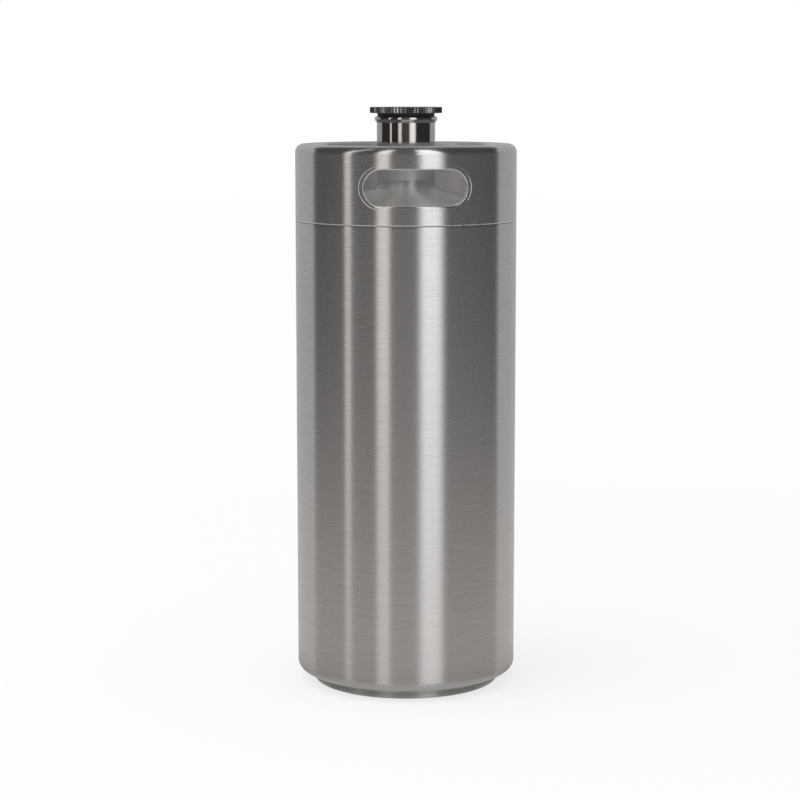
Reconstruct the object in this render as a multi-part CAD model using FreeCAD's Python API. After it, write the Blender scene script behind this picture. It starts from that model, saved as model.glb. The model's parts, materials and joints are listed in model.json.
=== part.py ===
"""A single-walled stainless steel mini keg with a screw cap, in millimetres.

The keg stands on its foot ring with its axis on +Z and the hand hole facing -Y. The origin is on
the floor, on the axis. Sheet parts are drawn as a path along their outer face, made of straight
runs and tangent bends, and given the sheet's thickness on the inner side.
"""

import math
import os

import FreeCAD
import Part

# Overall sizes
body_radius = 66.0
seam_height = 279.4
collar_height = 45.6
sheet = 0.8
seam_chamfer = 0.3
weld_clearance = 0.05

# Foot ring
foot_inset = 10.2
foot_height = 6.3
foot_sheet = 1.0
foot_land = 3.6
foot_edge_bend = 1.4
foot_bead_height = 1.0
foot_step_depth = 0.4
foot_step_height = 0.6

# Shell: rounded lower corner and the flange turned in under it
corner_bend = 5.5
flange_width = 9.0

# Bottom head: flat rim on the flange, then a dish that rises into the keg
bottom_rim_clearance = 0.5
bottom_rim_width = 9.0
bottom_rim_bend = 8.0
bottom_dish_radius = 122.0

# Top head: skirt inside the shell, knuckle, crown and pulled lip for the neck
skirt_length = 8.4
knuckle_radius = 10.0
crown_radius = 180.0
neck_fillet = 5.0
pulled_lip_height = 1.2

# Handle collar: shoulder, curled rim and hand hole with a drawn-in lip
shoulder_bend = 5.0
curl_bend = 3.0
curl_drop = 3.0
hole_width = 61.2
hole_height = 22.5
hole_below_top = 23.8
hole_lip_depth = 4.0
hole_lip_sheet = 1.2
hole_edge_round = 1.5

# Neck: turned spout with a bead at its mouth and a bore for the cap's thread
neck_radius = 17.35
neck_length = 37.5
neck_bore_radius = 14.4
spigot_length = 4.5
bore_chamfer = 0.4
bead_radius = 18.6
bead_height = 3.5
bead_step = 0.45
bead_cone_height = 1.9
bead_round = 0.9
thread_pitch = 3.0
bore_relief_depth = 0.5
bore_relief_height = 3.0
thread_length = 12.0

# Cap: fluted disc, threaded plug and gasket
disc_radius = 21.5
disc_thickness = 3.6
disc_chamfer = 0.45
flute_count = 72
flute_depth = 0.5
socket_depth = 1.2
plug_clearance = 1.0
plug_length = 21.0
plug_wall = 2.2
plug_chamfer = 0.8
plug_relief_depth = 0.5
plug_relief_height = 2.0
gasket_radius = 17.0
gasket_thickness = 2.05
gasket_clearance = 0.3
gasket_chamfer = 0.3

# Heights that follow from the sizes above
foot_radius = body_radius - foot_inset
collar_top = seam_height + collar_height
shell_underside = foot_height
shell_inner_radius = body_radius - sheet
skirt_radius = shell_inner_radius - weld_clearance
plug_radius = neck_bore_radius - plug_clearance


def point(radius, height):
    """A point of a half section, which lies in the XZ plane."""
    return FreeCAD.Vector(radius, 0, height)


def direction(degrees):
    return point(math.cos(math.radians(degrees)), math.sin(math.radians(degrees)))


class SheetPath:
    """The outer face of a sheet part in half section, followed from its first point.

    Positive bends turn left. The sheet's thickness lies on the left of the way it goes when
    side is 1, and on the right when it is -1.
    """

    def __init__(self, radius, height, heading, thickness, side=1):
        self.place = point(radius, height)
        self.heading = heading
        self.thickness = thickness
        self.side = side
        self.outer = []
        self.inner = []

    def inward(self, place, heading):
        return place + direction(heading + 90 * self.side) * self.thickness

    def go(self, length):
        """A straight run."""
        end = self.place + direction(self.heading) * length
        self.outer.append(Part.LineSegment(self.place, end).toShape())
        starts = self.inward(self.place, self.heading)
        ends = self.inward(end, self.heading)
        self.inner.append(Part.LineSegment(starts, ends).toShape())
        self.place = end
        return self

    def bend(self, radius, degrees):
        """A tangent arc of the outer face's radius."""
        turn = math.copysign(90, degrees)
        centre = self.place + direction(self.heading + turn) * radius
        stations = []
        for share in (0, 0.5, 1):
            heading = self.heading + degrees * share
            place = centre - direction(heading + turn) * radius
            stations.append((place, self.inward(place, heading)))
        outer, inner = zip(*stations)
        self.outer.append(Part.Arc(*outer).toShape())
        self.inner.append(Part.Arc(*inner).toShape())
        self.place = outer[2]
        self.heading += degrees
        return self

    def solid(self):
        """The sheet, turned once round the axis."""
        first = Part.LineSegment(self.inner[0].Vertexes[0].Point, self.outer[0].Vertexes[0].Point)
        last = Part.LineSegment(self.outer[-1].Vertexes[-1].Point, self.inner[-1].Vertexes[-1].Point)
        return turned([first.toShape(), *self.outer, last.toShape(), *self.inner])


def turned(edges):
    """A closed half section of edges, turned once round the axis."""
    wire = Part.Wire(Part.__sortEdges__(edges))
    return Part.Face(wire).revolve(point(0, 0), FreeCAD.Vector(0, 0, 1), 360)


def turned_outline(corners):
    """A closed half section of straight sides between (radius, height) corners."""
    points = [point(*corner) for corner in corners]
    sides = zip(points, points[1:] + points[:1])
    return turned([Part.LineSegment(a, b).toShape() for a, b in sides])


def ring(inner_radius, outer_radius, low, high):
    """A plain ring or, with an inner radius of 0, a disc."""
    outline = [(inner_radius, low), (outer_radius, low), (outer_radius, high), (inner_radius, high)]
    return turned_outline(outline)


def circles_at(solid, radius, height):
    """The solid's circular edges of that radius at that height."""
    found = []
    for edge in solid.Edges:
        is_circle = isinstance(edge.Curve, Part.Circle)
        if is_circle and math.isclose(edge.Curve.Radius, radius, abs_tol=1e-4):
            if math.isclose(edge.Curve.Center.z, height, abs_tol=1e-4):
                found.append(edge)
    return found


def make_foot_ring():
    """The rolled ring that the keg stands on: a flat land, a bead and a step in under the shell."""
    land_edge = foot_radius - foot_edge_bend
    land_start = land_edge - foot_land
    bead_top = foot_edge_bend + foot_bead_height
    step_top = bead_top + foot_step_height
    upper_radius = foot_radius - foot_step_depth
    profile = [
        (foot_radius, bead_top),
        (upper_radius, step_top),
        (upper_radius, foot_height),
        (upper_radius - foot_sheet, foot_height),
        (upper_radius - foot_sheet, step_top),
        (foot_radius - foot_sheet, bead_top),
    ]
    upright = turned_outline(profile)
    path = SheetPath(land_start, 0, 0, foot_sheet)
    rolled_edge = path.go(foot_land).bend(foot_edge_bend, 90).go(foot_bead_height).solid()
    return upright.fuse(rolled_edge).removeSplitter()


def make_body_shell():
    """The brushed wall, with a rounded lower corner and a flange turned in to the foot ring."""
    flange_radius = body_radius - corner_bend - flange_width
    wall_height = seam_height - shell_underside - corner_bend
    path = SheetPath(flange_radius, shell_underside, 0, sheet)
    shell = path.go(flange_width).bend(corner_bend, 90).go(wall_height).solid()
    return shell.makeChamfer(seam_chamfer, circles_at(shell, body_radius, seam_height))


def make_bottom_head():
    """The dished bottom, whose flat rim lies on the shell's flange."""
    rim_radius = body_radius - corner_bend - bottom_rim_clearance
    dish_edge = rim_radius - bottom_rim_width
    rise_angle = math.degrees(math.asin(dish_edge / (bottom_dish_radius + bottom_rim_bend)))
    path = SheetPath(rim_radius, shell_underside + sheet, 180, sheet, side=-1)
    path.go(bottom_rim_width).bend(bottom_rim_bend, -rise_angle).bend(bottom_dish_radius, rise_angle)
    return path.solid()


def make_top_head():
    """The drawn head: skirt, knuckle, crown and the lip pulled up to carry the neck."""
    knuckle_slope = math.degrees(
        math.asin((skirt_radius - knuckle_radius) / (crown_radius - knuckle_radius))
    )
    neck_slope = math.degrees(
        math.asin((neck_radius + neck_fillet) / (crown_radius + neck_fillet))
    )
    path = SheetPath(skirt_radius, seam_height - skirt_length, 90, sheet)
    path.go(skirt_length).bend(knuckle_radius, 90 - knuckle_slope)
    path.bend(crown_radius, knuckle_slope - neck_slope).bend(neck_fillet, neck_slope - 90)
    path.go(pulled_lip_height)
    return path.solid(), path.place.z


def make_neck(seat):
    """The turned spout. Its spigot drops into the head's pulled lip and its shoulder sits on it."""
    mouth = seat + neck_length
    bead_low = mouth - bead_height
    step_radius = neck_radius + bead_step
    bead_wide = bead_low + bead_cone_height
    spigot_radius = neck_radius - sheet - weld_clearance
    relief_radius = neck_bore_radius + bore_relief_depth
    relief_top = mouth - thread_length
    relief_low = relief_top - bore_relief_height
    corners = [
        (neck_bore_radius, seat - spigot_length),
        (spigot_radius, seat - spigot_length),
        (spigot_radius, seat),
        (neck_radius, seat),
        (neck_radius, bead_low),
        (step_radius, bead_low),
        (bead_radius, bead_wide),
        (bead_radius, mouth),
        (neck_bore_radius + bore_chamfer, mouth),
        (neck_bore_radius, mouth - bore_chamfer),
        (neck_bore_radius, relief_top),
        (relief_radius, relief_top - bore_relief_depth),
        (relief_radius, relief_low + bore_relief_depth),
        (neck_bore_radius, relief_low),
    ]
    neck = turned_outline(corners)
    return neck.makeFillet(bead_round, circles_at(neck, bead_radius, mouth)), mouth


def stadium(width, height, grow=0.0):
    """The hand hole's outline, seen from the front, as a face on the XZ plane."""
    end_radius = height / 2 + grow
    reach = width / 2 - height / 2
    middle = collar_top - hole_below_top
    top_left, top_right = point(-reach, middle + end_radius), point(reach, middle + end_radius)
    low_left, low_right = point(-reach, middle - end_radius), point(reach, middle - end_radius)
    edges = [
        Part.LineSegment(top_left, top_right).toShape(),
        Part.Arc(top_right, point(reach + end_radius, middle), low_right).toShape(),
        Part.LineSegment(low_right, low_left).toShape(),
        Part.Arc(low_left, point(-reach - end_radius, middle), top_left).toShape(),
    ]
    return Part.Face(Part.Wire(edges))


def make_handle_collar():
    """The top shroud: a shoulder and curled rim, and one hand hole whose edge is drawn inwards."""
    wall_height = collar_height - shoulder_bend
    path = SheetPath(body_radius, seam_height, 90, sheet)
    path.go(wall_height).bend(shoulder_bend, 90).bend(curl_bend, 90).go(curl_drop)
    collar = path.solid()
    collar = collar.makeChamfer(seam_chamfer, circles_at(collar, body_radius, seam_height))

    forwards = FreeCAD.Vector(0, -2 * body_radius, 0)
    lip_blank = stadium(hole_width, hole_height, hole_lip_sheet).extrude(forwards)
    lip_band = ring(body_radius - hole_lip_depth, body_radius, seam_height, collar_top)
    hole = stadium(hole_width, hole_height).extrude(forwards)
    collar = collar.fuse(lip_blank.common(lip_band)).removeSplitter().cut(hole)

    def on_hole_edge(edge):
        """Whether an edge runs round the hole on the collar's outer face."""
        places = [edge.valueAt(t) for t in (edge.FirstParameter, edge.LastParameter)]
        radii = [math.hypot(p.x, p.y) for p in places]
        inside = all(abs(p.x) <= hole_width / 2 + 1e-3 and p.y < 0 for p in places)
        heights = [abs(p.z - (collar_top - hole_below_top)) for p in places]
        level = all(h <= hole_height / 2 + 1e-3 for h in heights)
        return inside and level and all(abs(r - body_radius) < 1e-3 for r in radii)

    outer_edges = [edge for edge in collar.Edges if on_hole_edge(edge)]
    return collar.makeFillet(hole_edge_round, outer_edges)


def make_cap_disc(underside):
    """The cap's grip: a disc with a fluted edge, chamfered both sides, and a socket for the plug."""
    corners = []
    for corner in range(2 * flute_count):
        reach = disc_radius - flute_depth * (corner % 2)
        angle = math.pi * corner / flute_count
        corners.append(FreeCAD.Vector(reach * math.cos(angle), reach * math.sin(angle), underside))
    outline = Part.makePolygon(corners + corners[:1])
    fluted = Part.Face(outline).extrude(FreeCAD.Vector(0, 0, disc_thickness))
    top = underside + disc_thickness
    envelope = turned_outline([
        (0, underside),
        (disc_radius - disc_chamfer, underside),
        (disc_radius, underside + disc_chamfer),
        (disc_radius, top - disc_chamfer),
        (disc_radius - disc_chamfer, top),
        (0, top),
    ])
    socket = ring(0, plug_radius + weld_clearance, underside, underside + socket_depth)
    return fluted.common(envelope).cut(socket)


def make_cap_plug(underside):
    """The hollow plug under the disc, relieved at the gasket and chamfered to enter the neck."""
    top = underside + socket_depth
    low = underside - plug_length
    relief_low = underside - gasket_thickness - plug_relief_height
    inner_radius = plug_radius - plug_wall
    return turned_outline([
        (inner_radius, low),
        (plug_radius - plug_chamfer, low),
        (plug_radius, low + plug_chamfer),
        (plug_radius, relief_low),
        (plug_radius - plug_relief_depth, relief_low + plug_relief_depth),
        (plug_radius - plug_relief_depth, underside - gasket_thickness),
        (plug_radius, underside - gasket_thickness),
        (plug_radius, top),
        (inner_radius, top),
    ])


def make_cap_gasket(mouth):
    """The washer between the cap's disc and the neck's mouth."""
    top = mouth + gasket_thickness
    gasket = ring(plug_radius + gasket_clearance, gasket_radius, mouth, top)
    rims = circles_at(gasket, gasket_radius, mouth) + circles_at(gasket, gasket_radius, top)
    return gasket.makeChamfer(gasket_chamfer, rims)


def main():
    top_head, lip_top = make_top_head()
    neck, mouth = make_neck(lip_top)
    disc_underside = mouth + gasket_thickness
    nodes = {
        "foot_ring": make_foot_ring(),
        "bottom_head": make_bottom_head(),
        "body_shell": make_body_shell(),
        "top_head": top_head,
        "neck": neck,
        "handle_collar": make_handle_collar(),
        "cap_gasket": make_cap_gasket(mouth),
        "cap_plug": make_cap_plug(disc_underside),
        "cap_disc": make_cap_disc(disc_underside),
    }
    os.makedirs("parts", exist_ok=True)
    for name, shape in nodes.items():
        solids = shape.Solids
        valid = shape.isValid()
        shape.exportStep(os.path.join("parts", name + ".step"))
        print(f"{name}: {len(solids)} solid, valid {valid}, {shape.Volume / 1000:.2f} cm3")
    print(f"mouth of the neck at {mouth:.2f}, top of the cap at {disc_underside + disc_thickness:.2f}")
    print(f"full turns to free the cap: {(plug_length - gasket_thickness) / thread_pitch:.1f}")


main()
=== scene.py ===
"""A single-walled steel mini keg: its finishes, the thread of its screw cap, its weld marks, and
the plain studio that it stands in. Sizes are in metres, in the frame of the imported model."""

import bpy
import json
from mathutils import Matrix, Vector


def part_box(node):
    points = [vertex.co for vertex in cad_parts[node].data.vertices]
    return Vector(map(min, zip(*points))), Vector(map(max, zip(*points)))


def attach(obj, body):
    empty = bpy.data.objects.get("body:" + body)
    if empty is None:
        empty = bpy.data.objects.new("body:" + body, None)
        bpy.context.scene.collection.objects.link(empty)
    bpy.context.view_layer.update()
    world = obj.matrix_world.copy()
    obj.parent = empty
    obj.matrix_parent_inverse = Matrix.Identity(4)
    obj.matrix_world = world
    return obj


bl_info = {
    "name": "Mini keg finishes",
    "version": (1, 0, 0),
    "blender": (4, 5, 0),
    "location": "3D View > Sidebar > Keg",
    "description": "Dresses a packed mini keg in steel, with threads, welds and a studio",
    "category": "Object",
}

import json
import math
import random
from collections import namedtuple

import bmesh
import bpy
from bpy.props import FloatProperty, FloatVectorProperty, IntProperty, PointerProperty
from bpy.types import Operator, Panel, PropertyGroup
from mathutils import Matrix, Vector

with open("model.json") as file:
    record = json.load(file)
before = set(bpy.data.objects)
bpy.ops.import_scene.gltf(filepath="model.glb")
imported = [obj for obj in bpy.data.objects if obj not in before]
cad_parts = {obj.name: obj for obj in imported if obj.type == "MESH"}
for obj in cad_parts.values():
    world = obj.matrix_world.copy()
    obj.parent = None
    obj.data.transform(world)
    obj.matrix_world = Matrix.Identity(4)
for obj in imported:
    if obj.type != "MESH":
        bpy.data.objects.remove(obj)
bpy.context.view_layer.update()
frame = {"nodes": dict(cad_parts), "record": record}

MILLIMETRE = 0.001

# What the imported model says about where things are
WALL_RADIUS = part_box("handle_collar")[1].x
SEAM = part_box("handle_collar")[0].z
COLLAR_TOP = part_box("handle_collar")[1].z
NECK_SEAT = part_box("top_head")[1].z
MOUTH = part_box("neck")[1].z
PLUG_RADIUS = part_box("cap_plug")[1].x
HOLE_MIDDLE = next(mount["pos_m"][2] for mount in frame["record"]["mounts"]
                   if mount["name"] == "hand_hole_grip")

# The bright and dark cards of the studio that the steel reflects. Azimuths are in degrees, from 0
# on the camera's side, and grow to its right. A card's low share is what is left of it low down.
Card = namedtuple("Card", "azimuth half_width edge brightness low_share")
CARDS = (
    Card(-61.8, 3.6, 1.5, 1.1, 0.35),
    Card(-23.4, 6.6, 2.5, 1.08, 0.75),
    Card(-1.5, 13.5, 3.0, 0.05, 1.0),
    Card(26.3, 11.4, 5.5, 1.38, 1.12),
)
WHITE = (1.0, 1.0, 1.0)
WARM_WHITE = (1.0, 0.94, 0.905)

# Half widths of a thread's root and crest, in pitches
THREAD_ROOT = 0.36
THREAD_CREST = 0.1


def length(name, description, default):
    """A size in metres."""
    return FloatProperty(name=name, description=description, default=default, unit="LENGTH",
                         precision=5)


def number(name, description, default, subtype="NONE"):
    return FloatProperty(name=name, description=description, default=default, subtype=subtype)


def share(name, description, default):
    """A number from 0 to 1."""
    return FloatProperty(name=name, description=description, default=default, min=0, max=1)


def colour(name, description, default):
    return FloatVectorProperty(name=name, description=description, default=default,
                               subtype="COLOR", size=3, min=0, max=1)


# Shader trees


class Socket:
    """A shader socket that Python's operators work on, one Math node for each."""

    def __init__(self, tree, socket):
        self.tree = tree
        self.socket = socket

    def maths(self, operation, *values):
        return self.tree.add("ShaderNodeMath", {"operation": operation}, *values)

    def __add__(self, other):
        return self.maths("ADD", self, other)

    def __radd__(self, other):
        return self.maths("ADD", other, self)

    def __sub__(self, other):
        return self.maths("SUBTRACT", self, other)

    def __rsub__(self, other):
        return self.maths("SUBTRACT", other, self)

    def __mul__(self, other):
        return self.maths("MULTIPLY", self, other)

    def __rmul__(self, other):
        return self.maths("MULTIPLY", other, self)

    def __pow__(self, other):
        return self.maths("POWER", self, other)

    def __abs__(self):
        return self.maths("ABSOLUTE", self)

    def at_least(self, other):
        return self.maths("MAXIMUM", self, other)

    def angle_from(self, other):
        """The angle in degrees whose tangent is this over the other."""
        return self.maths("ARCTAN2", self, other) * math.degrees(1)


class Shader:
    """A node tree that is filled by one call for each node."""

    def __init__(self, tree):
        self.tree = tree
        tree.nodes.clear()

    def node(self, kind, settings=None, *values, **named):
        """Adds a node. Values go to its sockets in order, or by name, with _ for a space."""
        node = self.tree.nodes.new(kind)
        for name, value in (settings or {}).items():
            setattr(node, name, value)
        in_use = [socket for socket in node.inputs if socket.enabled]
        by_name = {socket.name: socket for socket in reversed(in_use)}
        pairs = list(zip(in_use, values))
        pairs += [(by_name[name.replace("_", " ")], value) for name, value in named.items()]
        for socket, value in pairs:
            if isinstance(value, Socket):
                self.tree.links.new(value.socket, socket)
            elif value is not None:
                socket.default_value = value
        return node

    def add(self, kind, settings=None, *values, **named):
        """Adds a node and returns its first output that is in use."""
        node = self.node(kind, settings, *values, **named)
        return Socket(self, next(socket for socket in node.outputs if socket.enabled))

    def out(self, kind, output, settings=None, *values, **named):
        """Adds a node and returns the output of that name."""
        return Socket(self, self.node(kind, settings, *values, **named).outputs[output])

    def axes(self):
        """The X, Y and Z of the point on the object."""
        parts = self.node("ShaderNodeSeparateXYZ", None, self.out("ShaderNodeTexCoord", "Object"))
        return [Socket(self, output) for output in parts.outputs]

    def radius(self):
        """The distance of the point from the keg's axis."""
        x, y, _ = self.axes()
        return (x * x + y * y) ** 0.5

    def noise(self, scale, detail, location=(0, 0, 0)):
        """Noise with as many bumps in a metre as scale says, along X, Y and Z."""
        point = self.out("ShaderNodeTexCoord", "Object")
        place = self.add("ShaderNodeMapping", None, point, location, None, scale)
        return self.out("ShaderNodeTexNoise", "Fac", None, place, Scale=1.0, Detail=detail,
                        Roughness=0.6)

    def smooth(self, value, low, high, to_low=0.0, to_high=1.0):
        """Turns smoothly from to_low, where value is low, to to_high, where it is high."""
        settings = {"interpolation_type": "SMOOTHSTEP"}
        return self.add("ShaderNodeMapRange", settings, value, low, high, to_low, to_high)

    def blend(self, factor, first, second):
        """A colour between two, by factor."""
        node = self.node("ShaderNodeMix", {"data_type": "RGBA"}, Factor=factor)
        pair = [socket for socket in node.inputs if socket.type == "RGBA"]
        for socket, value in zip(pair, (first, second)):
            if isinstance(value, Socket):
                self.tree.links.new(value.socket, socket)
            else:
                socket.default_value = (*value[:3], 1)
        return Socket(self, next(socket for socket in node.outputs if socket.type == "RGBA"))

    def relief(self, height, depth, strength=1.0):
        """A bump that is depth metres deep."""
        return self.add("ShaderNodeBump", None, Strength=strength, Distance=depth, Height=height)

    def glow(self, tint, strength):
        return self.add("ShaderNodeEmission", None, (*tint, 1), strength)

    def mix(self, factor, first, second):
        return self.add("ShaderNodeMixShader", None, factor, first, second)

    def principled(self, **sockets):
        """Finishes a material with a Principled shader, whose sockets are given by name."""
        self.finish(self.add("ShaderNodeBsdfPrincipled", None, **sockets))

    def finish(self, surface, kind="ShaderNodeOutputMaterial"):
        self.node(kind, {"is_active_output": True}, surface)


def new_material(name):
    material = bpy.data.materials.new(name)
    material.use_nodes = True
    return material, Shader(material.node_tree)


def darker(tint, left):
    """A tint with a share of its light left."""
    return tuple(part * left for part in tint)


# Finishes


def brushed_steel(name, tint, roughness, grain, scatter=0.05, buffed=None, satin=None,
                  marks=None):
    """Steel with brush lines that run round the keg's axis: long across X and Y, fine along Z.

    The lines spread a reflection up and down far more than round the wall, so the metal is
    anisotropic, and the bump turns each line a little, which frays a highlight's edges. Scatter is
    the share that the scratches send every way. Buffed, satin and marks give masks: of a smoother
    place, of a duller one that is also painted lighter as painted light, and of dark specks.
    """
    material, shader = new_material(name)
    fine = shader.noise((60, 60, grain), 2)
    coarse = shader.noise((24, 24, grain / 3), 2, location=(3, 1, 7))
    cloud = shader.noise((9, 9, 5), 2, location=(5, 5, 5))
    lines = fine * 0.85 + coarse * 0.15
    worn = lines * 0.7 + cloud * 0.3
    base = shader.blend(shader.smooth(worn, 0.35, 0.65), darker(tint, 0.9), tint)
    rough = shader.smooth(worn, 0.3, 0.7, roughness * 1.1, roughness * 0.9)
    metal = 1 - scatter
    height = lines - 0.5
    if buffed:
        mask = buffed(shader)
        rough = rough * (1 - mask * 0.3)
        height = height * (1 - mask * 0.7)
    if satin:
        mask = satin(shader)
        rough = rough + mask * 0.24
        height = height * (1 - mask * 0.8)
        metal = metal - mask * 0.42
        # Painted light: the satin places are painted lighter, which lifts the collar's inner face
        # out of its shade and paints a highlight along the seam.
        base = shader.blend(mask * 0.5, base, (0.88, 0.85, 0.84))
    if marks:
        base = shader.blend(marks(shader), base, darker(tint, 0.15))
    shader.principled(Base_Color=base, Metallic=metal, Roughness=rough,
                      Normal=shader.relief(height, 3e-5), Anisotropic=1.0,
                      Anisotropic_Rotation=0.25)
    return material


def hole_ends(sizes):
    """The radius of the hand hole's round ends, and how far to each side their centres are."""
    end_radius = sizes.hole_height / 2
    return end_radius, sizes.hole_width / 2 - end_radius


def buffed_edges(shader):
    """Where the collar is buffed: its shoulder and rim, and the drawn edge of its hand hole."""
    end_radius, reach = hole_ends(bpy.context.scene.keg_sizes)
    blur = 0.2 * MILLIMETRE
    x, y, z = shader.axes()
    shoulder = shader.smooth(z, COLLAR_TOP - 4.5 * MILLIMETRE, COLLAR_TOP - 3 * MILLIMETRE)
    across = (abs(x) - reach).at_least(0)
    up = z - HOLE_MIDDLE
    off = (across * across + up * up) ** 0.5
    edge = 1 - shader.smooth(off, end_radius - blur, end_radius + blur)
    front = shader.smooth(0 - y, 0, WALL_RADIUS / 2)
    return shoulder.at_least(edge * front)


def unbrushed_collar_and_painted_light(shader):
    """Where the brush doesn't reach: the collar's inner face, its lip and a line over the seam."""
    # Painted light: brushed_steel paints these places a lighter colour, which lifts the inner face
    # out of its shade and paints a highlight along the seam.
    height, radius = shader.axes()[2], shader.radius()
    inner = 1 - shader.smooth(radius, WALL_RADIUS - 0.75 * MILLIMETRE,
                              WALL_RADIUS - 0.6 * MILLIMETRE)
    low = 1 - shader.smooth(height, COLLAR_TOP - 6 * MILLIMETRE, COLLAR_TOP - 5 * MILLIMETRE)
    lip = shader.smooth(radius, WALL_RADIUS - 7.5 * MILLIMETRE, WALL_RADIUS - 5.5 * MILLIMETRE,
                        0.7, 0)
    line = 1 - shader.smooth(height, SEAM + 0.5 * MILLIMETRE, SEAM + 0.8 * MILLIMETRE)
    return (inner * low).at_least(line).at_least(lip)


def dressed_band(shader):
    """The band under the seam, where the weld was dressed smooth."""
    height = shader.axes()[2]
    return shader.smooth(height, SEAM - 2.2 * MILLIMETRE, SEAM - 0.8 * MILLIMETRE, 0, 0.55)


def weld_specks(shader):
    """The dark hairline of the seam, and the specks that the weld left beside it."""
    off = abs(shader.axes()[2] - SEAM)
    hairline = 1 - shader.smooth(off, 0.12 * MILLIMETRE, 0.3 * MILLIMETRE)
    beside = 1 - shader.smooth(off, 0.6 * MILLIMETRE, 1.3 * MILLIMETRE)
    spatter = shader.smooth(shader.noise((420, 420, 700), 2, location=(6, 2, 8)), 0.62, 0.66)
    stretch = shader.smooth(shader.noise((22, 22, 22), 1, location=(8, 3, 5)), 0.5, 0.6)
    return hairline.at_least(beside * spatter * stretch)


def polished_steel(name, tint, roughness, satin_top):
    """Turned and buffed steel with faint lathe lines and a haze of wear, satin below satin_top."""
    material, shader = new_material(name)
    lathe = shader.noise((10, 10, 2600), 2)
    haze = shader.noise((60, 60, 60), 4, location=(1, 2, 3))
    base = shader.blend(shader.smooth(haze, 0.35, 0.7), darker(tint, 0.94), tint)
    rough = shader.smooth(lathe * 0.5 + haze * 0.5, 0.3, 0.7, roughness * 0.6, roughness * 1.4)
    satin = 1 - shader.smooth(shader.axes()[2], satin_top - 3 * MILLIMETRE, satin_top)
    shader.principled(Base_Color=base, Metallic=1 - satin * 0.3, Roughness=rough + satin * 0.4,
                      Normal=shader.relief(lathe, 2e-6, 0.4))
    return material


def turned_steel(name, tint, roughness):
    """Lathe-turned steel with rings round the axis, for the cap and the threads."""
    material, shader = new_material(name)
    rings = shader.add("ShaderNodeTexNoise", {"noise_dimensions": "1D"}, W=shader.radius() * 2600,
                       Scale=1.0, Detail=3.0)
    stain = shader.noise((120, 120, 120), 4)
    worn = shader.smooth(rings * 0.6 + stain * 0.4, 0.3, 0.7)
    shader.principled(Base_Color=shader.blend(worn, darker(tint, 0.85), tint), Metallic=1.0,
                      Roughness=shader.smooth(stain, 0.3, 0.7, roughness * 0.85, roughness * 1.15),
                      Normal=shader.relief(rings, 4e-6, 0.8), Anisotropic=0.6,
                      Anisotropic_Rotation=0.25)
    return material


def black_rubber(name, tint, roughness):
    """Moulded rubber, matt, with a fine skin and a little dust."""
    material, shader = new_material(name)
    skin = shader.noise((3500, 3500, 3500), 3)
    dust = shader.noise((240, 240, 240), 5, location=(4, 4, 4))
    dusty = tuple(part + 0.03 for part in tint)
    shader.principled(Base_Color=shader.blend(shader.smooth(dust, 0.55, 0.8), tint, dusty),
                      Roughness=shader.smooth(dust, 0.3, 0.8, roughness, roughness + 0.1),
                      Normal=shader.relief(skin, 2e-5, 0.6))
    return material


def weld_steel(name, tint, roughness):
    """The rippled, slightly darkened metal of a weld."""
    material, shader = new_material(name)
    ripple = shader.noise((900, 900, 900), 3)
    heat = shader.noise((70, 70, 70), 3, location=(2, 9, 4))
    base = shader.blend(shader.smooth(heat, 0.35, 0.65), darker(tint, 0.55), tint)
    shader.principled(Base_Color=base, Metallic=1.0,
                      Roughness=shader.smooth(ripple, 0.3, 0.7, roughness, roughness + 0.2),
                      Normal=shader.relief(ripple, 4e-5, 0.8))
    return material


# Meshes


def new_piece(name, form, material, body):
    """Makes a piece of a bmesh, smooth all over, that rides on a body."""
    mesh = bpy.data.meshes.new(name)
    form.normal_update()
    form.to_mesh(mesh)
    form.free()
    mesh.materials.append(material)
    mesh.shade_smooth()
    piece = bpy.data.objects.new(name, mesh)
    bpy.context.scene.collection.objects.link(piece)
    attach(piece, body)
    return piece


def stage_piece(name, form, material):
    """Makes a piece of the studio of a bmesh."""
    mesh = bpy.data.meshes.new(name)
    form.to_mesh(mesh)
    form.free()
    mesh.materials.append(material)
    piece = bpy.data.objects.new(name, mesh)
    bpy.context.scene.collection.objects.link(piece)
    return piece


def turn(form, outline, steps):
    """Spins an open outline of (radius, height) points once round the axis."""
    verts = [form.verts.new((radius, 0, height)) for radius, height in outline]
    edges = [form.edges.new(pair) for pair in zip(verts, verts[1:])]
    bmesh.ops.spin(form, geom=verts + edges, axis=(0, 0, 1), cent=(0, 0, 0), angle=math.tau,
                   steps=steps, use_merge=True)
    bmesh.ops.remove_doubles(form, verts=form.verts, dist=1e-7)
    bmesh.ops.recalc_face_normals(form, faces=form.faces)


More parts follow.
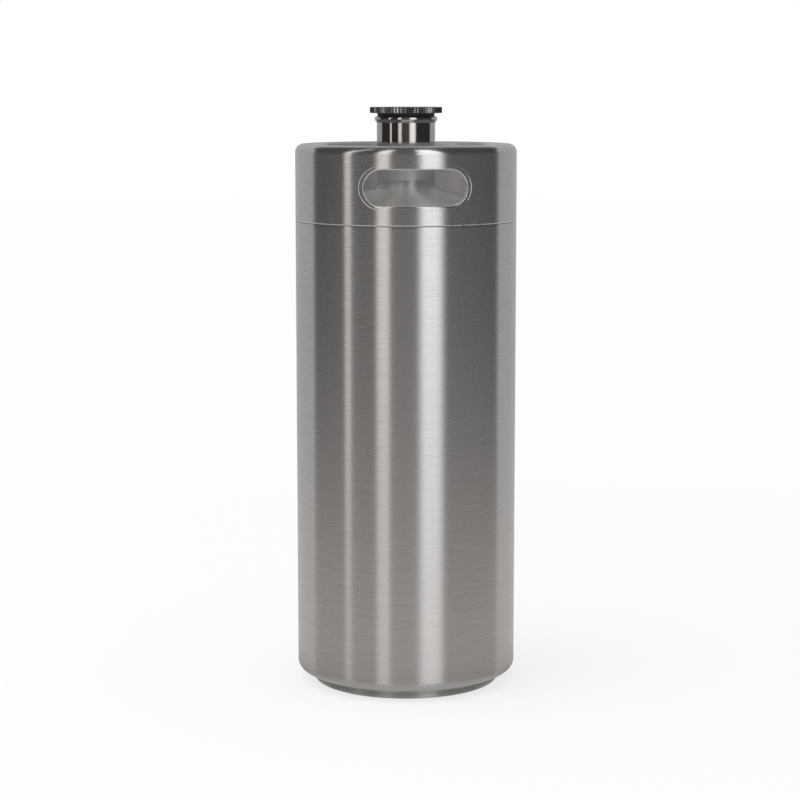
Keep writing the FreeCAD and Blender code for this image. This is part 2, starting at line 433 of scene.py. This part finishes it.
def thread(sizes, root_radius, crest_radius, low, turns):
    """A helical ridge with tapered ends, from its root wall to its crest, whose foot is at low.

    Its section is a trapezium, spun up the helix a full turn for each pitch and narrowed to
    nothing over the first and last quarter turn.
    """
    form = bmesh.new()
    pitch = sizes.pitch
    root_half, crest_half = pitch * THREAD_ROOT, pitch * THREAD_CREST
    outline = [(root_radius, -root_half), (crest_radius, -crest_half), (crest_radius, crest_half),
               (root_radius, root_half)]
    verts = [form.verts.new((radius, 0, low + height)) for radius, height in outline]
    edges = [form.edges.new(pair) for pair in zip(verts, verts[1:] + verts[:1])]
    steps = int(sizes.thread_steps * turns)
    bmesh.ops.spin(form, geom=verts + edges, axis=(0, 0, 1), cent=(0, 0, 0),
                   angle=math.tau * turns, dvec=(0, 0, pitch * turns / steps), steps=steps)
    form.verts.ensure_lookup_table()
    sections = [form.verts[i:i + 4] for i in range(0, len(form.verts), 4)]
    taper = sizes.thread_steps // 4
    last = len(sections) - 1
    stub = 0.02
    for place, section in enumerate(sections):
        height = max(min(1.0, place / taper, (last - place) / taper), stub)
        for vert in section:
            flat = Vector((vert.co.x, vert.co.y, 0))
            reach = root_radius + (flat.length - root_radius) * height
            vert.co = flat.normalized() * reach + Vector((0, 0, vert.co.z))
    for section in (sections[0], sections[-1]):
        form.faces.new(section)
    bmesh.ops.recalc_face_normals(form, faces=form.faces)
    return form


# What the user may change


class KegSizes(PropertyGroup):
    """Sizes of the small pieces."""

    pitch: length("Thread pitch", "Rise of the cap in one turn", 3 * MILLIMETRE)
    thread_depth: length("Thread depth", "How far a ridge stands from its wall",
                         0.85 * MILLIMETRE)
    thread_drop: length("Thread drop", "From the mouth down to the neck's thread",
                        1.2 * MILLIMETRE)
    neck_turns: number("Turns in the neck", "Turns of the neck's thread", 3.5)
    plug_turns: number("Turns on the plug", "Turns of the plug's thread", 4.1)
    thread_steps: IntProperty(name="Steps in a turn", description="Sections in a turn of thread",
                              default=96)
    bore_radius: length("Neck bore", "Radius of the neck's bore", 14.4 * MILLIMETRE)
    neck_radius: length("Neck radius", "Outside radius of the neck", 17.35 * MILLIMETRE)
    neck_bead: length("Neck weld", "Half width of the weld where the neck meets the head",
                      0.3 * MILLIMETRE)
    seam_bead: length("Seam weld", "Half width of the weld in the seam", 0.1 * MILLIMETRE)
    seam_depth: length("Seam depth", "How far the weld in the seam lies under the wall's face",
                       0.2 * MILLIMETRE)
    hole_width: length("Hole width", "Width of the hand hole", 61.2 * MILLIMETRE)
    hole_height: length("Hole height", "Height of the hand hole", 22.5 * MILLIMETRE)
    rim_round: length("Rim round", "Radius of the hand hole's rounded rim", 1 * MILLIMETRE)
    rim_depth: length("Rim depth", "How far the hole's rim is drawn in", 3.9 * MILLIMETRE)
    rim_strip: length("Rim strip", "Width of the rim's flush strip", 1.45 * MILLIMETRE)


class KegColours(PropertyGroup):
    """Colours and gloss of the finishes."""

    wall: colour("Wall", "Brushed steel of the wall and the collar", (0.62, 0.615, 0.61))
    wall_roughness: share("Wall roughness", "How far the wall blurs a reflection", 0.26)
    head: colour("Heads", "Satin steel of the heads", (0.56, 0.55, 0.535))
    head_roughness: share("Head roughness", "How far the heads blur a reflection", 0.45)
    foot: colour("Foot", "Satin steel of the foot ring", (0.56, 0.57, 0.54))
    neck: colour("Neck", "Polished steel of the neck", (0.57, 0.56, 0.55))
    neck_roughness: share("Neck roughness", "How far the neck blurs a reflection", 0.08)
    thread_roughness: share("Thread roughness", "How far the threads blur a reflection", 0.25)
    weld_roughness: share("Weld roughness", "How far the weld blurs a reflection", 0.3)
    cap: colour("Cap", "Turned steel of the cap", (0.36, 0.36, 0.36))
    cap_roughness: share("Cap roughness", "How far the cap blurs a reflection", 0.3)
    rubber: colour("Gasket", "Black rubber of the gasket", (0.018, 0.018, 0.018))
    rubber_roughness: share("Gasket roughness", "How matt the rubber is", 0.55)


class StudioLight(PropertyGroup):
    """Camera and light of the studio."""

    camera_distance: length("Camera distance", "From the keg's axis to the camera", 1.3286)
    camera_height: length("Camera height", "Of the camera above the floor", 0.3572)
    camera_azimuth: number("Camera azimuth", "To the left of the hand hole", math.radians(5.3),
                           "ANGLE")
    camera_pitch: number("Camera pitch", "Below the horizon", math.radians(7.989), "ANGLE")
    focal_length: number("Focal length", "In millimetres, on a 36 mm sensor", 99.77)
    shift: number("Shift", "Sideways shift of the lens, in frame widths", -0.00745)
    ambient: share("Ambient light", "Brightness of the world as a light", 0.82)
    lamp_power: number("Lamp power", "Of the soft lamp overhead, in watts", 12.0)
    lamp_size: length("Lamp size", "Width of the soft lamp overhead", 2.0)
    floor_radius: length("Floor radius", "Of the round floor", 6.0)
    floor_glow: share("Floor glow", "Share of the floor's white that no shadow reaches", 0.74)
    floor_mirror: share("Mirrored floor", "Brightness of the floor in reflections", 0.65)
    floor_clear: share("Floor clear", "Share of the studio wall that shows in the floor", 0.25)
    floor_reach: length("Floor reach", "How far the floor shows in reflections", 0.8)
    surround_radius: length("Surround radius", "Of the studio wall in reflections", 2.0)
    surround_low: length("Surround low", "Foot of the studio wall in reflections", -1.0)
    surround_high: length("Surround high", "Top of the studio wall in reflections", 5.4)
    card_top: length("Card top", "Height where the bright cards end", 4.6)
    dark: share("Dark studio", "Brightness of the dark studio in reflections", 0.035)
    backdrop: share("Backdrop", "Brightness of the backdrop behind, in reflections", 0.46)
    ceiling: share("Ceiling", "Brightness of the ceiling in reflections", 0.08)


# Pieces


class KEG_OT_finish_steel(Operator):
    """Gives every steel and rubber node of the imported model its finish"""

    bl_idname = "keg.finish_steel"
    bl_label = "Finish the steel"

    def execute(self, context):
        look = context.scene.keg_colours
        # Brush lines in a metre of height
        fine_grain, satin_grain = 1900, 1500
        head = brushed_steel("head_steel", look.head, look.head_roughness, satin_grain,
                             scatter=0.35)
        satin_top = NECK_SEAT + 12 * MILLIMETRE
        finishes = {
            "body_shell": brushed_steel("wall_steel", look.wall, look.wall_roughness, fine_grain,
                                        buffed=dressed_band, marks=weld_specks),
            "handle_collar": brushed_steel("collar_steel", look.wall, look.wall_roughness,
                                           fine_grain, buffed=buffed_edges,
                                           satin=unbrushed_collar_and_painted_light, marks=weld_specks),
            "top_head": head,
            "bottom_head": head,
            "foot_ring": brushed_steel("foot_steel", look.foot, look.head_roughness, satin_grain,
                                       scatter=0.15),
            "neck": polished_steel("neck_steel", look.neck, look.neck_roughness, satin_top),
            "cap_disc": turned_steel("turned_cap", look.cap, look.cap_roughness),
            "cap_plug": turned_steel("turned_plug", look.cap, look.cap_roughness),
            "cap_gasket": black_rubber("gasket_rubber", look.rubber, look.rubber_roughness),
        }
        for node, finish in finishes.items():
            materials = frame["nodes"][node].data.materials
            materials.clear()
            materials.append(finish)
        return {"FINISHED"}


class KEG_OT_cut_threads(Operator):
    """Adds the meshed threads of the neck and of the cap's plug"""

    bl_idname = "keg.cut_threads"
    bl_label = "Cut the threads"

    def execute(self, context):
        sizes, look = context.scene.keg_sizes, context.scene.keg_colours
        steel = turned_steel("thread_steel", look.neck, look.thread_roughness)
        neck_low = MOUTH - sizes.thread_drop - sizes.neck_turns * sizes.pitch
        neck_thread = thread(sizes, sizes.bore_radius, sizes.bore_radius - sizes.thread_depth,
                             neck_low, sizes.neck_turns)
        new_piece("neck_thread", neck_thread, steel, "keg")
        plug_thread = thread(sizes, PLUG_RADIUS, PLUG_RADIUS + sizes.thread_depth,
                             neck_low - sizes.pitch / 2, sizes.plug_turns)
        new_piece("plug_thread", plug_thread, steel, "cap")
        return {"FINISHED"}


class KEG_OT_draw_hole_rim(Operator):
    """Adds the rounded rim that is drawn inwards round the hand hole"""

    bl_idname = "keg.draw_hole_rim"
    bl_label = "Draw the hole's rim"

    def execute(self, context):
        sizes = context.scene.keg_sizes
        form = self.outline(sizes)
        stations = self.section(sizes)
        first = loop = list(form.edges)
        self.place(form.verts, sizes, *stations[0])
        for offset, depth in stations[1:]:
            grown = bmesh.ops.extrude_edge_only(form, edges=loop)["geom"]
            verts = [part for part in grown if isinstance(part, bmesh.types.BMVert)]
            edges = [part for part in grown if isinstance(part, bmesh.types.BMEdge)]
            loop = [edge for edge in edges if all(vert in verts for vert in edge.verts)]
            self.place(verts, sizes, offset, depth)
        bmesh.ops.bridge_loops(form, edges=first + loop)
        bmesh.ops.recalc_face_normals(form, faces=form.faces)
        steel = bpy.data.materials["collar_steel"]
        rim = new_piece("hole_rim", form, steel, "keg")
        rim.data.set_sharp_from_angle(angle=math.radians(40))
        # The brush lines run round the middle of the texture space, so it is set to the keg's axis
        rim.data.use_auto_texspace = False
        rim.data.texspace_location = (0, 0, HOLE_MIDDLE)
        rim.data.texspace_size = (WALL_RADIUS, WALL_RADIUS, WALL_RADIUS)
        return {"FINISHED"}

    def section(self, sizes):
        """The rim's section, as pairs of how far outside the hole and how deep in the wall.

        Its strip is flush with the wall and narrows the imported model's hole, which is wider.
        """
        bend, depth, steps = sizes.rim_round, sizes.rim_depth, 8
        strip_end, overlap = 0.1 * MILLIMETRE, 0.4 * MILLIMETRE
        angles = [math.pi / 2 * step / steps for step in range(1, steps + 1)]
        rounding = [(-bend * math.sin(angle), bend * (1 - math.cos(angle))) for angle in angles]
        return [(sizes.rim_strip, 0), (strip_end, 0), (0, 0), *rounding, (-bend, depth),
                (overlap, depth)]

    def outline(self, sizes):
        """The hole's outline as a flat loop: a circle whose halves are moved apart."""
        end_radius, reach = hole_ends(sizes)
        segments = 96
        form = bmesh.new()
        bmesh.ops.create_circle(form, segments=segments, radius=end_radius)
        half_step = Matrix.Rotation(math.tau / segments / 2, 3, "Z")
        bmesh.ops.rotate(form, verts=form.verts, matrix=half_step)
        straight = [edge for edge in form.edges
                    if edge.verts[0].co.x * edge.verts[1].co.x < 0]
        for side in (-1, 1):
            half = [vert for vert in form.verts if vert.co.x * side > 0]
            bmesh.ops.translate(form, verts=half, vec=(reach * side, 0, 0))
        bmesh.ops.subdivide_edges(form, edges=straight, cuts=40)
        upright = Matrix.Rotation(math.pi / 2, 3, "X")
        bmesh.ops.rotate(form, verts=form.verts, matrix=upright)
        bmesh.ops.translate(form, verts=form.verts, vec=(0, 0, HOLE_MIDDLE))
        return form

    def place(self, verts, sizes, offset, depth):
        """Grows the outline by offset and bends it round the wall, at depth under its face."""
        end_radius, reach = hole_ends(sizes)
        for vert in verts:
            centre = Vector((max(-reach, min(reach, vert.co.x)), 0, HOLE_MIDDLE))
            out = Vector((vert.co.x, 0, vert.co.z)) - centre
            spot = centre + out.normalized() * (end_radius + offset)
            vert.co = (spot.x, -math.sqrt((WALL_RADIUS - depth) ** 2 - spot.x ** 2), spot.z)


class KEG_OT_weld_seams(Operator):
    """Adds the weld in the seam and the one round the neck"""

    bl_idname = "keg.weld_seams"
    bl_label = "Weld the seams"

    def execute(self, context):
        sizes, look = context.scene.keg_sizes, context.scene.keg_colours
        half = sizes.seam_bead
        seam = self.bead(WALL_RADIUS - half - sizes.seam_depth, SEAM, half, steps=360,
                         ripple=half * 0.35, seed=3)
        steel = weld_steel("weld_steel", look.wall, look.weld_roughness)
        new_piece("seam_weld", seam, steel, "keg")
        half = sizes.neck_bead
        sunk = half * 0.6
        neck = self.bead(sizes.neck_radius - sunk, NECK_SEAT, half, steps=240,
                         ripple=half * 0.08, seed=5)
        new_piece("neck_weld", neck, bpy.data.materials["head_steel"], "keg")
        return {"FINISHED"}

    def bead(self, radius, height, half_width, steps, ripple, seed):
        """A bead of weld round the axis, with its ripples moved at random."""
        form = bmesh.new()
        corners = 8
        angles = [math.tau * corner / corners for corner in range(corners + 1)]
        outline = [(radius + half_width * math.cos(angle), height + half_width * math.sin(angle))
                   for angle in angles]
        turn(form, outline, steps)
        rng = random.Random(seed)
        columns = [rng.uniform(-ripple, ripple) for _ in range(steps)]
        for vert in form.verts:
            moved = columns[round(math.atan2(vert.co.y, vert.co.x) / math.tau * steps) % steps]
            flat = Vector((vert.co.x, vert.co.y, 0))
            vert.co += flat.normalized() * min(moved, 0)
            vert.co.z += moved / 2
        return form


class KEG_OT_set_studio(Operator):
    """Adds the camera, the world, the floor, the lamp and the cards that the steel reflects"""

    bl_idname = "keg.set_studio"
    bl_label = "Set the studio"

    def execute(self, context):
        light = context.scene.keg_light
        context.scene.view_settings.view_transform = "Standard"
        self.camera(context, light)
        self.world(context, light)
        self.floor(light)
        self.lamp(light)
        self.surround(light)
        return {"FINISHED"}

    def camera(self, context, light):
        data = bpy.data.cameras.new("camera")
        data.sensor_width = 36
        data.lens = light.focal_length
        data.shift_x = light.shift
        data.clip_end = 20
        camera = bpy.data.objects.new("camera", data)
        place = Vector((0, -light.camera_distance, light.camera_height))
        place.rotate(Matrix.Rotation(-light.camera_azimuth, 3, "Z"))
        turned = (Matrix.Rotation(-light.camera_azimuth, 4, "Z")
                  @ Matrix.Rotation(math.pi / 2 - light.camera_pitch, 4, "X"))
        camera.matrix_world = Matrix.Translation(place) @ turned
        context.scene.collection.objects.link(camera)
        context.scene.camera = camera

    def world(self, context, light):
        """White where it is seen or mirrored, and a softer white as a light."""
        world = bpy.data.worlds.new("studio")
        world.use_nodes = True
        context.scene.world = world
        shader = Shader(world.node_tree)
        path = shader.node("ShaderNodeLightPath")
        camera, glossy, through = [
            Socket(shader, path.outputs[f"Is {kind} Ray"])
            for kind in ("Camera", "Glossy", "Transmission")
        ]
        seen = camera.at_least(glossy).at_least(through)
        strength = light.ambient + seen * (1 - light.ambient)
        surface = shader.add("ShaderNodeBackground", None, (*WHITE, 1), strength)
        shader.finish(surface, "ShaderNodeOutputWorld")

    def floor(self, light):
        """A pale floor that turns into the plain white background away from the keg.

        Reflections see it near the keg only, and the studio wall through it farther out. It is
        darker in them close to the foot, which stands in its own shadow.
        """
        material, shader = new_material("floor_paint")
        away = shader.radius()
        glossy = shader.out("ShaderNodeLightPath", "Is Glossy Ray")
        paint_end, white_start = 0.35, 0.9
        glow = shader.smooth(away, paint_end, white_start)
        glow = light.floor_glow + (1 - light.floor_glow) * glow
        paint = shader.add("ShaderNodeBsdfDiffuse", None, (0.93, 0.93, 0.93, 1))
        seen = shader.mix(glow, paint, shader.glow(WHITE, 0.985))
        foot, shadow_end, shadow_light = 0.07, 0.13, 0.5
        mirror = light.floor_mirror * shader.smooth(away, foot, shadow_end, shadow_light, 1.0)
        clear = shader.smooth(away, light.floor_reach * 0.4, light.floor_reach * 1.6,
                              light.floor_clear, 1.0)
        mirrored = shader.mix(clear, shader.glow(WARM_WHITE, mirror),
                              shader.add("ShaderNodeBsdfTransparent"))
        shader.finish(shader.mix(glossy, seen, mirrored))
        form = bmesh.new()
        bmesh.ops.create_circle(form, cap_ends=True, segments=96, radius=light.floor_radius)
        stage_piece("floor", form, material)

    def lamp(self, light):
        """One large soft lamp overhead, for the floor, its shadow and the rubber."""
        data = bpy.data.lights.new("overhead", "AREA")
        data.shape = "DISK"
        data.size = light.lamp_size
        data.energy = light.lamp_power
        lamp = bpy.data.objects.new("overhead", data)
        lamp.location = (-0.7, -0.4, 1.6)
        aim = Vector((0, 0, 0.1)) - lamp.location
        lamp.rotation_euler = aim.to_track_quat("-Z", "Y").to_euler()
        lamp.visible_glossy = False
        lamp.visible_camera = False
        bpy.context.scene.collection.objects.link(lamp)

    def surround(self, light):
        """A round wall and ceiling that only reflections see: dark, with tall bright cards."""
        material, shader = new_material("studio_wall")
        x, y, z = shader.axes()
        azimuth = x.angle_from(0 - y) + math.degrees(light.camera_azimuth)
        blur = 0.3
        cards = self.cards(shader, azimuth, z)
        cards = cards * (1 - shader.smooth(z, light.card_top - blur, light.card_top + blur))
        level = light.dark + cards + self.backdrop(shader, light, azimuth, z)
        ceiling = shader.smooth(z, light.surround_high - blur, light.surround_high)
        level = level * (1 - ceiling) + ceiling * light.ceiling
        # The light from the left is warm, and the rest is neutral
        neutral = shader.smooth(azimuth, -5, 8).at_least(shader.smooth(0 - azimuth, 100, 110))
        tint = shader.blend(neutral, WARM_WHITE, WHITE)
        shader.finish(shader.add("ShaderNodeEmission", None, tint, level))
        form = bmesh.new()
        corners = [(light.surround_radius, light.surround_low),
                   (light.surround_radius, light.surround_high), (0, light.surround_high)]
        turn(form, corners, 128)
        wall = stage_piece("surround", form, material)
        wall.visible_camera = False
        wall.visible_diffuse = False
        wall.visible_shadow = False

    def cards(self, shader, azimuth, height):
        """The light of the cards, which dims towards the floor."""
        cards = 0
        for card in CARDS:
            off = abs(azimuth - card.azimuth)
            lit = shader.smooth(off, card.half_width - card.edge, card.half_width + card.edge,
                                card.brightness, 0.0)
            cards = lit * shader.smooth(height, -0.8, 0.6, card.low_share, 1.0) + cards
        return cards * shader.smooth(height, 0, 0.9, 0.85, 1.3)

    def backdrop(self, shader, light, azimuth, height):
        """The light of the backdrop behind the keg, narrower high up and dimmer at its top."""
        dark_end, backdrop_start, most_narrowed = 107, 112, 35
        narrowed = shader.smooth(height, 0.9, 2.0, 0, most_narrowed)
        behind = shader.smooth(abs(azimuth) - narrowed, dark_end, backdrop_start, 0,
                               light.backdrop - light.dark)
        behind = behind * shader.smooth(height, 0.5, 2.0, 1.0, 1.3)
        return behind * shader.smooth(height, 2.4, 3.4, 1.0, 0.6)


class KEG_PT_panel(Panel):
    """Lists the keg's sizes, colours and steps"""

    bl_label = "Mini keg"
    bl_idname = "KEG_PT_panel"
    bl_space_type = "VIEW_3D"
    bl_region_type = "UI"
    bl_category = "Keg"

    def draw(self, context):
        scene = context.scene
        for group in (scene.keg_sizes, scene.keg_colours, scene.keg_light):
            box = self.layout.box()
            for name in group.__annotations__:
                box.prop(group, name)
        for step in STEPS:
            self.layout.operator(step.bl_idname)


GROUPS = {"keg_sizes": KegSizes, "keg_colours": KegColours, "keg_light": StudioLight}
STEPS = (KEG_OT_set_studio, KEG_OT_finish_steel, KEG_OT_cut_threads, KEG_OT_draw_hole_rim,
         KEG_OT_weld_seams)


def register():
    for name, group in GROUPS.items():
        bpy.utils.register_class(group)
        setattr(bpy.types.Scene, name, PointerProperty(type=group))
    for step in STEPS:
        bpy.utils.register_class(step)
    bpy.utils.register_class(KEG_PT_panel)


def unregister():
    bpy.utils.unregister_class(KEG_PT_panel)
    for step in reversed(STEPS):
        bpy.utils.unregister_class(step)
    for name, group in reversed(GROUPS.items()):
        delattr(bpy.types.Scene, name)
        bpy.utils.unregister_class(group)


def main():
    register()
    bpy.ops.keg.set_studio()
    bpy.ops.keg.finish_steel()
    bpy.ops.keg.cut_threads()
    bpy.ops.keg.draw_hole_rim()
    bpy.ops.keg.weld_seams()


if __name__ == "__main__":
    main()
